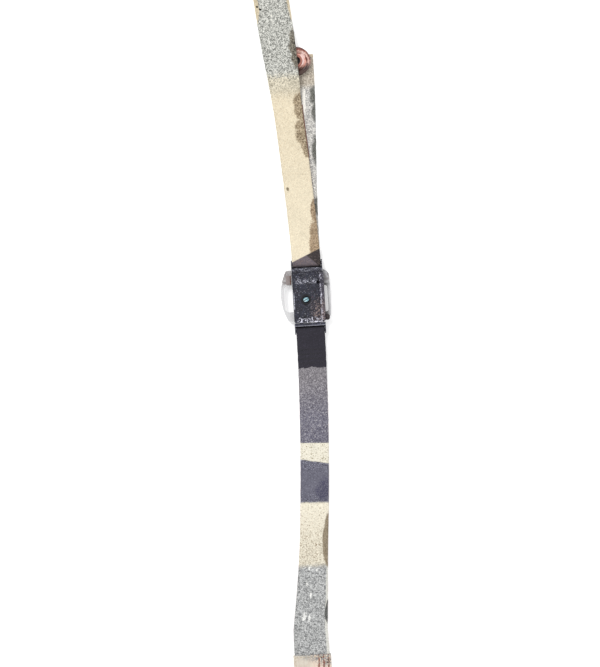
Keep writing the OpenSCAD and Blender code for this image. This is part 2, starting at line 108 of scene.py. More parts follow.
TAB_W = 33
UPPER_TAB = (265, 299, 305)              # first stitch line's end, straight end, centre of the loop
LOWER_TAB = (314, 352, 358)
TAB_LOOP_Z = 4.4
TAB_LOOP_R = 3.6                         # middle of the leather round the loop
RIVET_X = 9
UPPER_RIVETS = (270, 283)
LOWER_RIVETS = (330, 341)
TAB_TOP_Z = 3.8
RIVET_PROFILE = [(0.0, 3.4), (2.5, 3.4), (2.62, 3.85), (2.5, 4.1), (2.0, 4.38), (1.2, 4.52),
                 (0.0, 4.56)]
STITCH_PITCH = 3.1
BARTACK_ROWS = (-46, -50, -54, -58)
BARTACK_HALF = 10
BARTACK_PITCH = 0.85
BARTACK_LEAN = 62
RING_PROFILE = [(4.95, 3.4), (4.95, 5.2), (5.15, 5.9), (5.7, 6.3), (6.4, 6.3), (7.0, 5.9),
                (7.5, 5.1), (8.0, 5.1), (8.6, 6.1), (9.2, 6.75), (10.0, 7.0), (10.9, 6.85),
                (11.7, 6.4), (12.4, 5.6), (12.8, 4.6), (12.5, 3.5), (11.8, 2.7), (10.9, 2.35),
                (9.2, 2.3), (7.2, 2.3), (5.9, 2.45), (5.2, 2.8)]

# ---- The view and its light ----

LENS_MM = 85
SENSOR_MM = 36
VIEW_HEIGHT = 587                        # on the strap's plane
VIEW_CENTRE = (-9.4, -31.6)
VIEW_ROLL = -3.5                         # degrees
WORLD_STRENGTH = 0.72
FLOOR_HALF = 12000
FLOOR_Z = -0.15
FLOOR_GLOW = 0.35


# ---- Paths ----

def smooth(t):
    t = min(1.0, max(0.0, t))
    return t * t * (3 - 2 * t)


def upper_x(y):
    far, length, bend = UPPER_SWAY
    return -far * (max(0, y - BAR_Y) / length) ** bend


def tail_x(y):
    far, length, bend = TAIL_SWAY
    return far * smooth((y - BAR_Y) / length) ** bend


def lower_x(y):
    far, length, bend = LOWER_SWAY
    return -far * min(1, max(0, -y - BAR_Y) / length) ** bend


def widen(t):
    return (NARROW + (WIDE - NARROW) * smooth(t)) / 2


def upper_half(y):
    return widen((y - UPPER_WIDENS[0]) / UPPER_WIDENS[1])


def lower_half(y):
    return widen((-y - LOWER_WIDENS[0]) / LOWER_WIDENS[1])


def narrow_half(y):
    return NARROW / 2


def level(stops, y):
    """The middle of a layer at a distance y along the strap, easing from stop to stop."""
    for (y0, z0), (y1, z1) in zip(stops, stops[1:]):
        if y <= y1:
            return z0 + (z1 - z0) * smooth((y - y0) / (y1 - y0))
    return stops[-1][1]


def run(stops, y0, y1, side=1, step=1.5):
    """Points (y, z) along a layer from y0 to y1."""
    n = max(2, round(abs(y1 - y0) / step))
    ys = [y0 + (y1 - y0) * i / n for i in range(n + 1)]
    return [(side * y, level(stops, y)) for y in ys]


def turn(cy, cz, r, start, end, n=14):
    """Points (y, z) round a bar, between two angles in degrees."""
    angles = [math.radians(start + (end - start) * i / n) for i in range(n + 1)]
    return [(cy + r * math.cos(a), cz + r * math.sin(a)) for a in angles]


# ---- Mesh building ----

WELD = 2e-6                              # in metres: a CAD mesh's points this close are merged
LATHE_WELD = 1e-7                        # in metres
SHARP_ANGLE = math.radians(35)           # edges sharper than this are rounded
FLAT_ANGLE = math.radians(1)
EDGE_STEPS = 4                           # round a band's edge
SELVEDGE = 0.05                          # how far a band's edges stand proud
SELVEDGE_W = 2.6                         # the thick, close-woven edge of a band
SELVEDGE_EASE = 1.2
FRAY_PITCH = 0.22                        # how fast the noises change, per millimetre
RIPPLE_ACROSS = 0.09
RIPPLE_ALONG = 0.035


def new_object(name, verts, faces, material):
    mesh = bpy.data.meshes.new(name)
    mesh.from_pydata([Vector(v) * MM for v in verts], [], faces)
    mesh.update()
    mesh.materials.append(material)
    obj = bpy.data.objects.new(name, mesh)
    bpy.context.scene.collection.objects.link(obj)
    mesh.shade_smooth()
    return obj


def section(half, thick, across, selvedge):
    """A flat band's outline as (u, w) points, going once round: along the top, round, and back."""
    r = thick / 2
    flat = half - r
    top = [-flat + 2 * flat * i / across for i in range(across + 1)]
    bulge = [selvedge * smooth((abs(u) - flat + SELVEDGE_W) / SELVEDGE_EASE) for u in top]
    points = [(u, r + b) for u, b in zip(top, bulge)]
    bend = [math.pi / 2 - math.pi * i / EDGE_STEPS for i in range(1, EDGE_STEPS)]
    lip = r + selvedge
    points += [(flat + r * math.cos(a), lip * math.sin(a)) for a in bend]
    points += [(u, -r - b) for u, b in zip(reversed(top), reversed(bulge))]
    points += [(-flat - r * math.cos(a), -lip * math.sin(a)) for a in bend]
    return points


def sweep(name, path, centre, half, thick, material, across=22, selvedge=0.0, ripple=0.0,
          fray=0.0, seed=0.0):
    """A band swept along (y, z) points. centre and half give its middle and half width at y.

    The point attribute "run" holds (across, along, side) in millimetres, for the materials.
    """
    verts, marks, along = [], [], 0.0
    n = len(path)
    thick_at = thick if callable(thick) else (lambda i: thick)
    for i, (y, z) in enumerate(path):
        before, after = path[max(0, i - 1)], path[min(n - 1, i + 1)]
        dy, dz = after[0] - before[0], after[1] - before[1]
        length = math.hypot(dy, dz) or 1.0
        normal = (-dz / length, dy / length)
        if i:
            along += math.hypot(y - path[i - 1][0], z - path[i - 1][1])
        h = half(y)
        for u, w in section(h, thick_at(i), across, selvedge):
            edge = fray * noise.noise((along * FRAY_PITCH, math.copysign(7, u) + seed, 0))
            lift = ripple * noise.noise((u * RIPPLE_ACROSS + seed, along * RIPPLE_ALONG, 3.1))
            scaled = u * (1 + edge / h)
            raised = w + lift
            verts.append((centre(y) + scaled, y + normal[0] * raised, z + normal[1] * raised))
            marks.append((u, along, math.copysign(1, w)))
    ring = len(verts) // n
    faces = []
    for i in range(n - 1):
        for j in range(ring):
            a, b = i * ring + j, i * ring + (j + 1) % ring
            faces.append((a, b, b + ring, a + ring))
    faces.append(tuple(reversed(range(ring))))
    faces.append(tuple(range((n - 1) * ring, n * ring)))
    obj = new_object(name, verts, faces, material)
    attribute = obj.data.attributes.new("run", "FLOAT_VECTOR", "POINT")
    attribute.data.foreach_set("vector", [c for m in marks for c in m])
    fix_normals(obj)
    return obj


def fix_normals(obj):
    bm = bmesh.new()
    bm.from_mesh(obj.data)
    bmesh.ops.recalc_face_normals(bm, faces=bm.faces)
    bm.to_mesh(obj.data)
    bm.free()


def lathe(name, profile, at, material, steps=96):
    """A closed ring of (radius, height) points turned round an upright axis through at."""
    verts, faces = [], []
    n = len(profile)
    for i in range(steps):
        a = 2 * math.pi * i / steps
        for r, h in profile:
            verts.append((at[0] + r * math.cos(a), at[1] + r * math.sin(a), at[2] + h))
    for i in range(steps):
        for j in range(n):
            k = (j + 1) % n
            i2 = (i + 1) % steps
            faces.append((i * n + j, i2 * n + j, i2 * n + k, i * n + k))
    obj = new_object(name, verts, faces, material)
    bm = bmesh.new()
    bm.from_mesh(obj.data)
    bmesh.ops.remove_doubles(bm, verts=bm.verts, dist=LATHE_WELD)
    bmesh.ops.recalc_face_normals(bm, faces=bm.faces)
    bm.to_mesh(obj.data)
    bm.free()
    return obj


def rounded_copy(node, material, width):
    """A copy of a CAD node with its sharp edges rounded, standing for it."""
    source = frame["nodes"][node]
    obj = bpy.data.objects.new(node + "_finished", source.data.copy())
    bpy.context.scene.collection.objects.link(obj)
    mesh = obj.data
    bm = bmesh.new()
    bm.from_mesh(mesh)
    bmesh.ops.remove_doubles(bm, verts=bm.verts, dist=WELD)
    bmesh.ops.dissolve_limit(bm, angle_limit=FLAT_ANGLE, verts=bm.verts, edges=bm.edges)
    bmesh.ops.recalc_face_normals(bm, faces=bm.faces)
    bm.to_mesh(mesh)
    bm.free()
    if mesh.has_custom_normals:
        mesh.attributes.remove(mesh.attributes["custom_normal"])
    mesh.materials.clear()
    mesh.materials.append(material)
    mesh.shade_smooth()
    mesh.set_sharp_from_angle(angle=SHARP_ANGLE)
    bevel = obj.modifiers.new("rounding", "BEVEL")
    bevel.width = width * MM
    bevel.segments = 3
    bevel.limit_method = "ANGLE"
    bevel.angle_limit = SHARP_ANGLE
    bevel.use_clamp_overlap = True
    bevel.harden_normals = False
    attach(obj, source["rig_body"])
    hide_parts(node)
    return obj


def stitches(name, places, material, length=2.3, radius=0.32):
    """One small rounded thread for each (x, y, z, heading in degrees)."""
    rings = [(-0.5, 0.35), (-0.38, 0.85), (0.0, 1.0), (0.38, 0.85), (0.5, 0.35)]
    sides = 8
    verts, faces = [], []
    for x, y, z, heading in places:
        c, s = math.cos(math.radians(heading)), math.sin(math.radians(heading))
        base = len(verts)
        for along, fat in rings:
            sink = radius * 1.2 * (2 * along) ** 2
            for k in range(sides):
                a = 2 * math.pi * k / sides
                side, up = radius * fat * math.cos(a), radius * fat * math.sin(a)
                verts.append((x + along * length * c - side * s, y + along * length * s + side * c,
                              z + up - sink))
        for i in range(len(rings) - 1):
            for k in range(sides):
                a, b = base + i * sides + k, base + i * sides + (k + 1) % sides
                faces.append((a, b, b + sides, a + sides))
        faces.append(tuple(base + k for k in reversed(range(sides))))
        faces.append(tuple(base + (len(rings) - 1) * sides + k for k in range(sides)))
    obj = new_object(name, verts, faces, material)
    fix_normals(obj)
    return obj


# ---- Materials ----

def colour(r, g, b):
    """A display colour, 0 to 255, as the linear colour that shaders use."""
    def linear(c):
        c /= 255
        return c / 12.92 if c <= 0.04045 else ((c + 0.055) / 1.055) ** 2.4
    return (linear(r), linear(g), linear(b), 1.0)


def times(tone, factor):
    return colour(*[c * factor for c in tone])


class Surface:
    """A material, with short calls that add one node each."""

    def __init__(self, name, roughness=0.5, metallic=0.0, specular=0.5):
        self.material = bpy.data.materials.new(name)
        self.material.use_nodes = True
        tree = self.material.node_tree
        self.nodes, self.links = tree.nodes, tree.links
        self.shader = self.nodes["Principled BSDF"]
        self.shader.inputs["Roughness"].default_value = roughness
        self.shader.inputs["Metallic"].default_value = metallic
        self.shader.inputs["Specular IOR Level"].default_value = specular

    def put(self, socket, value):
        if isinstance(value, bpy.types.NodeSocket):
            self.links.new(value, socket)
        else:
            socket.default_value = value

    def set(self, name, value):
        self.put(self.shader.inputs[name], value)

    def place(self):
        """Object coordinates in millimetres."""
        coordinates = self.nodes.new("ShaderNodeTexCoord")
        return self.scaled(coordinates.outputs["Object"], (1000, 1000, 1000))

    def run(self):
        """The band's own (across, along, side) coordinates in millimetres."""
        attribute = self.nodes.new("ShaderNodeAttribute")
        attribute.attribute_name = "run"
        return attribute.outputs["Vector"]

    def scaled(self, vector, by):
        node = self.nodes.new("ShaderNodeVectorMath")
        node.operation = "MULTIPLY"
        self.links.new(vector, node.inputs[0])
        node.inputs[1].default_value = by
        return node.outputs[0]

    def split(self, vector):
        node = self.nodes.new("ShaderNodeSeparateXYZ")
        self.links.new(vector, node.inputs[0])
        return node.outputs[0], node.outputs[1], node.outputs[2]

    def from_ring(self, at):
        """How far a place lies from the ring's middle, along X and along Y."""
        x, y, _ = self.split(at)
        return self.sub(x, RING_AT[0]), self.sub(y, RING_AT[1])

    def math(self, operation, a, b=0.0):
        node = self.nodes.new("ShaderNodeMath")
        node.operation = operation
        self.put(node.inputs[0], a)
        self.put(node.inputs[1], b)
        return node.outputs[0]

    def add(self, a, b):
        return self.math("ADD", a, b)

    def sub(self, a, b):
        return self.math("SUBTRACT", a, b)

    def mul(self, a, b):
        return self.math("MULTIPLY", a, b)

    def div(self, a, b):
        return self.math("DIVIDE", a, b)

    def larger(self, a, b):
        return self.math("MAXIMUM", a, b)

    def abs(self, a):
        return self.math("ABSOLUTE", a)

    def sine(self, a):
        return self.math("SINE", a)

    def root(self, a):
        return self.math("SQRT", a)

    def floor(self, a):
        return self.math("FLOOR", a)

    def squares(self, a, b):
        return self.add(self.mul(a, a), self.mul(b, b))

    def centred(self, value, times):
        """A noise moved to lie round 0, times a length."""
        return self.mul(self.sub(value, 0.5), times)

    def around(self, value, middle, outer, inner):
        """1 within inner of a value and 0 beyond outer."""
        return self.ease(self.abs(self.sub(value, middle)), outer, inner)

    def ease(self, value, low, high, to_low=0.0, to_high=1.0):
        node = self.nodes.new("ShaderNodeMapRange")
        node.interpolation_type = "SMOOTHSTEP"
        for socket, v in zip(node.inputs, (value, low, high, to_low, to_high)):
            self.put(socket, v)
        return node.outputs[0]

    def noise(self, vector, scale, detail=2.0, roughness=0.5, distortion=0.0):
        node = self.nodes.new("ShaderNodeTexNoise")
        self.links.new(vector, node.inputs["Vector"])
        node.inputs["Scale"].default_value = scale
        node.inputs["Detail"].default_value = detail
        node.inputs["Roughness"].default_value = roughness
        node.inputs["Distortion"].default_value = distortion
        return node.outputs[0]

    def cells(self, vector, scale):
        node = self.nodes.new("ShaderNodeTexVoronoi")
        self.links.new(vector, node.inputs["Vector"])
        node.inputs["Scale"].default_value = scale
        return node.outputs[0]

    def mix(self, factor, a, b, blend="MIX"):
        node = self.nodes.new("ShaderNodeMix")
        node.data_type = "RGBA"
        node.blend_type = blend
        self.put(node.inputs[0], factor)
        self.put(node.inputs[6], a)
        self.put(node.inputs[7], b)
        return node.outputs[2]

    def grey(self, value):
        node = self.nodes.new("ShaderNodeCombineColor")
        for socket in node.inputs[:3]:
            self.put(socket, value)
        return node.outputs[0]

    def bump(self, height, distance, strength):
        node = self.nodes.new("ShaderNodeBump")
        node.inputs["Strength"].default_value = strength
        node.inputs["Distance"].default_value = distance * MM
        self.put(node.inputs["Height"], height)
        self.links.new(node.outputs[0], self.shader.inputs["Normal"])


# Plain tones of the print and the leather, and of painted shadow
CREAM = colour(234, 221, 194)
CREAM_LOW = colour(242, 234, 214)
STRIPE_CREAM = colour(238, 232, 214)
CREAM_GRAIN = colour(206, 190, 158)
CREAM_DOTS = colour(176, 152, 120)
# a brown of painted shadow
SHADOWED_BROWN = colour(66, 60, 58)
# dark print under painted shadow
CHARCOAL_IN_SHADOW = colour(50, 48, 56)
OLIVE = colour(140, 128, 106)
INK = colour(24, 20, 16)
NEAR_WHITE = colour(246, 246, 242)
TAIL_WHITE = colour(248, 244, 236)
EDGE_WHITE = colour(240, 238, 228)
PINK_CREAM = colour(232, 214, 196)
RUST = colour(128, 72, 52)

# Each speckled tone is (ground, specks, share of specks)
SPECKLED = {
    "wedge": ((150, 144, 130), (50, 44, 38), 0.95),
    "frayed_cream": ((222, 208, 180), (190, 176, 146), 0.6),
    "tail_dark": ((130, 130, 124), (70, 70, 66), 0.9),
    "lower_dark": ((112, 113, 110), (70, 70, 68), 0.9),
}
# and a mottled one goes on with (light flecks, dark dots, share of flecks, share of dots)
MOTTLED = {
    "grey": ((222, 222, 214), (110, 111, 106), 0.95, (248, 248, 240), (66, 66, 60), 0.8, 0.8),
    "half_way": ((236, 227, 204), (164, 156, 136), 0.8, (246, 238, 218), (120, 110, 90), 0.6, 0.7),
    "brown": ((192, 174, 146), (106, 90, 68), 0.9, (226, 210, 182), (74, 60, 46), 0.7, 0.6),
    "tan": ((186, 162, 134), (124, 104, 80), 0.9, (212, 194, 166), (90, 74, 56), 0.6, 0.6),
    # slate_shade is cream under painted shade
    "slate_shade": ((116, 106, 110), (96, 90, 98), 0.8, (140, 118, 112), (78, 72, 78), 0.6, 0.5),
    "tail_pale": ((224, 221, 214), (150, 148, 148), 0.9, (246, 244, 238), (92, 90, 90), 0.8, 0.7),
    "tail_warm": ((212, 202, 186), (150, 139, 124), 0.9, (230, 222, 210), (96, 88, 80), 0.6, 0.7),
    "lower_grey": ((206, 207, 206), (116, 117, 118), 0.95, (226, 227, 226), (92, 92, 92), 0.6, 0.7),
    "lower_brown": ((164, 150, 128), (122, 108, 88), 0.9, (196, 184, 164), (96, 84, 70), 0.5, 0.5),
}

# Each patch of print is (distance across from the band's middle, y, half across, half along)
UPPER_BROWN = [(12.8, 166, 7.0, 15), (12.8, 144, 9.0, 13), (12.8, 132, 5.4, 10)]
UPPER_TAN = [(13.6, 40, 9.4, 32), (13.6, 74, 5.4, 12)]
UPPER_WEDGE = [(16.2, 216, 7.2, 18)]
UPPER_SPOT = [(-9.4, 95.6, 1.1, 1.5)]
UPPER_FRAYED = [(-15.6, 262, 4.2, 19), (16.0, 262, 2.8, 19)]
UPPER_DOTS = [(-13.2, 257.0, 1.0, 0.9), (-10.9, 254.6, 1.0, 0.9), (14.6, 262.4, 1.0, 0.9)]
TAIL_DARK = [(13.4, 176, 5.6, 9), (13.4, 163, 4.2, 9), (13.4, 128, 4.4, 12), (13.4, 79, 4.0, 9)]
TAIL_LIGHT = [(2.6, 172, 1.5, 12)]
LOWER_MARKS = [(-5.0, -252, 1.3, 3.0), (-1.2, -262, 0.7, 2.6), (-6.0, -280, 2.0, 3.0),
               (-1.6, -282, 0.9, 3.2), (3.6, -240, 1.0, 1.4), (-3.4, -238, 1.1, 1.5)]
LOWER_DARK = [(16.2, -276, 4.6, 12)]
LOWER_BROWN = [(13.6, -214, 6.2, 23)]
STRIPE_SHADE = (8, -170, 7, 9)

# Where one print or painted shadow ends and the next begins
HALF_WAY_Y = 179
GREY_Y = 191
TAIL_WARM_Y = 184
TAIL_SHADOW_Y = (42.0, 39.0)
CHARCOAL_SHADOW_Y = -62.2
SLATE_SHADE_Y = -128.4
SLATE_SHADE_COOLS_Y = (-66, -112)
SHADOW_BAND_LOW_Y = -181
SHADOW_BAND_MIDDLE_Y = -163.5
CREAM_LOW_Y = -236
GRAIN_GROWS_Y = (-182, -226)
DOTS_GROW_Y = (-180, -226)
LOWER_TAB_Y = (-315.5, -314.0)
RIB = 1.3                                # the weave's pitch across and along the band
PICK = 1.1
TAB_STRIPE = 4.4
TAB_SPECKLES = (-330.0, -322.0)

# Where the buckle's paint is rubbed through, and where glints are painted on as bright marks
# bright metal, also the colour of painted glints
BARE_METAL_AND_GLINT = colour(232, 232, 246)
LIP_Z = (9.7, 10.2)
LOW_LIP_Y = (-16.6, -18.2)
LOW_RIM_Y = -22.3
LOW_LINE_Y = -25.3
TOP_LIP_Y = (21.2, 22.2)
SCUFFS_Y = 13.6
SIDE_WEAR_GLINT_X = -12.4
SIDE_WEAR_GLINT_Y = -3.5
SEAM_X = 10.8
EAR_Z = (6.3, 6.8)
EAR_X = (14.6, 14.2)


class Webbing(Surface):
    """Printed, woven webbing: a weave in the run's coordinates and a print in the part's."""

    def __init__(self, name):
        super().__init__(name, roughness=0.88, specular=0.2)
        self.set("Sheen Weight", 0.08)
        self.set("Sheen Roughness", 0.5)
        self.at = self.place()
        self.x, self.y, _ = self.split(self.at)
        self.across, self.along, _ = self.split(self.run())
        self.wander = self.sub(self.noise(self.at, 0.16, 4, 0.65), 0.5)
        coarse = self.noise(self.at, 0.55, 3, 0.75, 0.8)
        fine = self.noise(self.at, 1.25, 2, 0.6, 0.6)
        self.mottle = self.add(self.mul(coarse, 0.5), self.mul(fine, 0.5))
        self.speck = self.ease(self.mottle, 0.46, 0.54)
        self.fleck = self.ease(self.noise(self.at, 0.85, 3, 0.7, 0.5), 0.56, 0.62)
        turned = self.scaled(self.at, (-1, 1.1, 1))
        self.dot = self.ease(self.noise(turned, 0.9, 2, 0.6, 0.4), 0.58, 0.64)

    def above(self, level, soft, wander=6.0, tilt=0.0):
        """1 above a station along Y and 0 below it, with a wandering edge."""
        moved = self.add(self.y, self.mul(self.x, tilt))
        moved = self.add(moved, self.mul(self.wander, wander))
        return self.ease(moved, level - soft / 2, level + soft / 2)

    def patch(self, place, ragged, soft):
        """1 inside a ragged oval, placed by its distance from the band's middle."""
        across, y, half_across, half_y = place
        du = self.div(self.sub(self.across, across), half_across)
        dy = self.div(self.sub(self.y, y), half_y)
        square = self.squares(du, dy)
        rough = self.add(self.mul(self.wander, 1.4), self.centred(self.mottle, 1.6))
        square = self.add(square, self.mul(rough, 2 * ragged))
        return self.ease(square, 1 + soft, 1 - soft)

    def cover(self, base, places, tone, ragged, soft=0.12):
        """The base with a tone laid over it at each of the places."""
        for place in places:
            base = self.mix(self.patch(place, ragged, soft), base, tone)
        return base

    def speckled(self, name):
        ground, specks, amount = SPECKLED[name]
        return self.mix(self.mul(self.speck, amount), colour(*ground), colour(*specks))

    def mottled(self, name):
        ground, specks, amount, flecks, dots, lit, dotted = MOTTLED[name]
        base = self.mix(self.mul(self.speck, amount), colour(*ground), colour(*specks))
        return self.flecked(base, colour(*flecks), colour(*dots), lit, dotted)

    def flecked(self, ground, flecks, dots, amount, dotted):
        """Sparse light flecks and sparse dark dots on a ground."""
        lit = self.mix(self.mul(self.fleck, amount), ground, flecks)
        return self.mix(self.mul(self.dot, dotted), lit, dots)

    def finish(self, base):
        """Adds the weave, slightly darker edges and some soiling, and sets the shader."""
        rib = self.abs(self.sine(self.mul(self.across, math.pi / RIB)))
        row = self.floor(self.mul(self.across, 1 / RIB))
        phase = self.add(self.mul(self.along, 2 * math.pi / PICK), self.mul(row, math.pi * 0.5))
        pick = self.ease(self.sine(phase), -1.0, 1.0)
        weave = self.mul(rib, self.add(self.mul(pick, 0.6), 0.4))
        fuzz = self.noise(self.at, 3.5, 3, 0.7)
        grain = self.ease(weave, 0.0, 0.8, 0.88, 1.0)
        flipped = self.scaled(self.at, (1, 1, -1))
        dither = self.ease(self.noise(flipped, 0.8, 3, 0.8, 1.2), 0.36, 0.64, 0.84, 1.10)
        grain = self.mul(grain, dither)
        soil = self.ease(self.noise(self.at, 0.09, 4, 0.7), 0.45, 0.8, 1.0, 0.9)
        edge = self.ease(self.abs(self.across), 11.0, 12.2, 1.0, 0.94)
        level = self.mul(self.mul(grain, soil), edge)
        shaded = self.mix(1.0, base, self.grey(level), "MULTIPLY")
        lift = self.ease(fuzz, 0.40, 0.75, 0.0, 0.22)
        self.set("Base Color", self.mix(lift, shaded, base, "SCREEN"))
        height = self.add(self.mul(weave, 0.8), self.mul(fuzz, 0.4))
        self.bump(height, 0.22, 0.6)
        return self.material


def upper_front_material():
    s = Webbing("camo_upper_front")
    cream = s.mix(s.mul(s.fleck, 0.6), CREAM, colour(248, 240, 214))
    cream = s.mix(s.mul(s.speck, s.ease(s.y, 70, 150, 0.0, 0.30)), cream, CREAM_GRAIN)
    cream = s.mix(s.mul(s.dot, s.ease(s.y, 60, 150, 0.12, 0.5)), cream, CREAM_DOTS)
    base = s.mix(s.above(HALF_WAY_Y, 14), cream, s.mottled("half_way"))
    thinning = s.add(s.mottle, s.ease(s.y, GREY_Y - 9, GREY_Y + 11, -0.16, 0.16))
    grey_share = s.mul(s.above(GREY_Y, 20), s.ease(thinning, 0.47, 0.53))
    base = s.mix(grey_share, base, s.mottled("grey"))
    base = s.cover(base, UPPER_BROWN, s.mottled("brown"), 0.6)
    base = s.cover(base, UPPER_TAN, s.mottled("tan"), 0.5)
    base = s.cover(base, UPPER_WEDGE, s.speckled("wedge"), 0.7)
    base = s.cover(base, UPPER_SPOT, OLIVE, 1.4, 0.5)
    base = s.cover(base, UPPER_FRAYED, s.speckled("frayed_cream"), 0.5)
    base = s.cover(base, UPPER_DOTS, INK, 0.1)
    # painted shadow next to the buckle, with a slanted edge: brown print in shadow on its right and
    # grey, cream in shadow, on its left
    slant = s.sub(s.y, s.add(s.mul(s.x, 0.44), 36.4))
    brown_line = s.add(s.y, s.mul(s.x, 0.93))
    brown = s.flecked(colour(60, 54, 54), colour(112, 100, 96), colour(38, 34, 36), 0.7, 0.6)
    dark = s.mix(s.ease(brown_line, 35.8, 37.6), s.mottled("slate_shade"), brown)
    return s.finish(s.mix(s.ease(slant, 0.4, -0.4), base, dark))


def tail_material():
    s = Webbing("camo_tail")
    base = s.mix(s.above(TAIL_WARM_Y, 8), s.mottled("tail_pale"), s.mottled("tail_warm"))
    base = s.cover(base, TAIL_DARK, s.speckled("tail_dark"), 0.9, 0.25)
    base = s.cover(base, TAIL_LIGHT, TAIL_WHITE, 0.9, 0.3)
    # near the buckle the tail turns dark brown: painted shadow
    return s.finish(s.mix(s.ease(s.y, *TAIL_SHADOW_Y), base, SHADOWED_BROWN))


def lower_material():
    """From the end tab up to the buckle, each print or painted shadow is laid over the one before.
    """
    s = Webbing("camo_lower")
    base = s.mottled("lower_grey")
    for place in LOWER_MARKS:
        broken = s.mul(s.patch(place, 1.6, 0.5), s.ease(s.dot, 0.9, 0.1, 0.2, 1.0))
        base = s.mix(broken, base, NEAR_WHITE)
    inset = s.add(s.add(s.across, s.mul(s.y, 0.02)), s.mul(s.wander, 2))
    base = s.mix(s.ease(inset, 6.4, 7.4, 0.0, 0.75), base, EDGE_WHITE)
    base = s.cover(base, LOWER_DARK, s.speckled("lower_dark"), 0.35)
    cream = s.flecked(CREAM_LOW, colour(250, 246, 230), colour(180, 162, 132), 0.6, 0.25)
    grain = s.mul(s.speck, s.mul(s.ease(s.y, *GRAIN_GROWS_Y), 0.5))
    cream = s.mix(grain, cream, colour(166, 156, 134))
    cream = s.mix(s.mul(s.dot, s.ease(s.y, *DOTS_GROW_Y, 0.45, 1.0)), cream, colour(142, 120, 94))
    base = s.mix(s.above(CREAM_LOW_Y, 6), base, cream)
    base = s.cover(base, LOWER_BROWN, s.mottled("lower_brown"), 0.35)
    base = s.mix(s.ease(s.y, *LOWER_TAB_Y), PINK_CREAM, base)
    # a band of painted shadow across the cream, more flecked and dotted towards its ends, with a
    # deeper patch of painted shade
    rim = s.ease(s.abs(s.sub(s.y, SHADOW_BAND_MIDDLE_Y)), 6.0, 15.0, 0.35, 1.0)
    stripe = s.mix(s.mul(s.speck, 0.25), colour(108, 107, 120), colour(90, 90, 104))
    stripe = s.mix(s.mul(s.fleck, s.mul(rim, 0.8)), stripe, colour(176, 176, 190))
    stripe = s.mix(s.mul(s.dot, rim), stripe, colour(52, 52, 62))
    shade = s.mul(s.patch(STRIPE_SHADE, 1.2, 0.4), s.ease(s.mottle, 0.44, 0.52))
    stripe = s.mix(shade, stripe, colour(72, 70, 92))
    base = s.mix(s.above(SHADOW_BAND_LOW_Y, 2.5, 3, 0.06), base, stripe)
    pale = s.flecked(STRIPE_CREAM, colour(252, 248, 234), colour(160, 150, 122), 0.5, 1.0)
    tilt = s.add(s.add(s.y, s.mul(s.x, 0.2)), s.mul(s.wander, 2.0))
    base = s.mix(s.ease(tilt, -145.9, -144.5), base, pale)
    # painted shade: cream in shadow, with a cooler, bluer painted tint of shade towards its lower
    # end
    cools = s.ease(s.y, *SLATE_SHADE_COOLS_Y)
    ground = s.mix(cools, colour(148, 144, 148), colour(130, 128, 140))
    dots = s.mix(cools, colour(106, 102, 108), colour(88, 86, 102))
    slate_shade = s.flecked(s.mix(s.mul(s.speck, 0.9), ground, dots),
                      colour(196, 192, 196), colour(56, 54, 62), 0.8, 0.7)
    base = s.mix(s.above(SLATE_SHADE_Y, 0.8, 1.0, 0.06), base, slate_shade)
    # next to the buckle: a dark print patch with painted shadow over it
    charcoal_in_shadow = s.mix(s.mul(s.speck, 0.3), CHARCOAL_IN_SHADOW, colour(44, 43, 50))
    charcoal_in_shadow = s.mix(s.mul(s.fleck, 0.3), charcoal_in_shadow, colour(76, 72, 88))
    return s.finish(s.mix(s.above(CHARCOAL_SHADOW_Y, 0.7, 8), base, charcoal_in_shadow))


def leather_material(name="leather_red_brown", tone=(138, 84, 68), deep=(96, 54, 44)):
    s = Surface(name, roughness=0.55, specular=0.4)
    at = s.place()
    grain = s.cells(at, 1.5)
    pores = s.noise(at, 3.0, 4, 0.6)
    cloud = s.noise(at, 0.13, 4, 0.6)
    base = s.mix(s.ease(cloud, 0.35, 0.7), colour(*tone), colour(*deep))
    base = s.mix(s.ease(grain, 0.1, 0.6, 0.35, 0.0), base, times(tone, 0.62))
    scuff = s.ease(s.noise(s.scaled(at, (1, 0.25, 1)), 0.7, 5, 0.75), 0.6, 0.75, 0.0, 0.4)
    s.set("Base Color", s.mix(scuff, base, colour(196, 158, 132)))
    s.set("Roughness", s.ease(pores, 0.3, 0.8, 0.45, 0.72))
    height = s.add(s.mul(grain, -0.7), s.mul(pores, 0.4))
    s.bump(height, 0.16, 0.8)
    return s.material


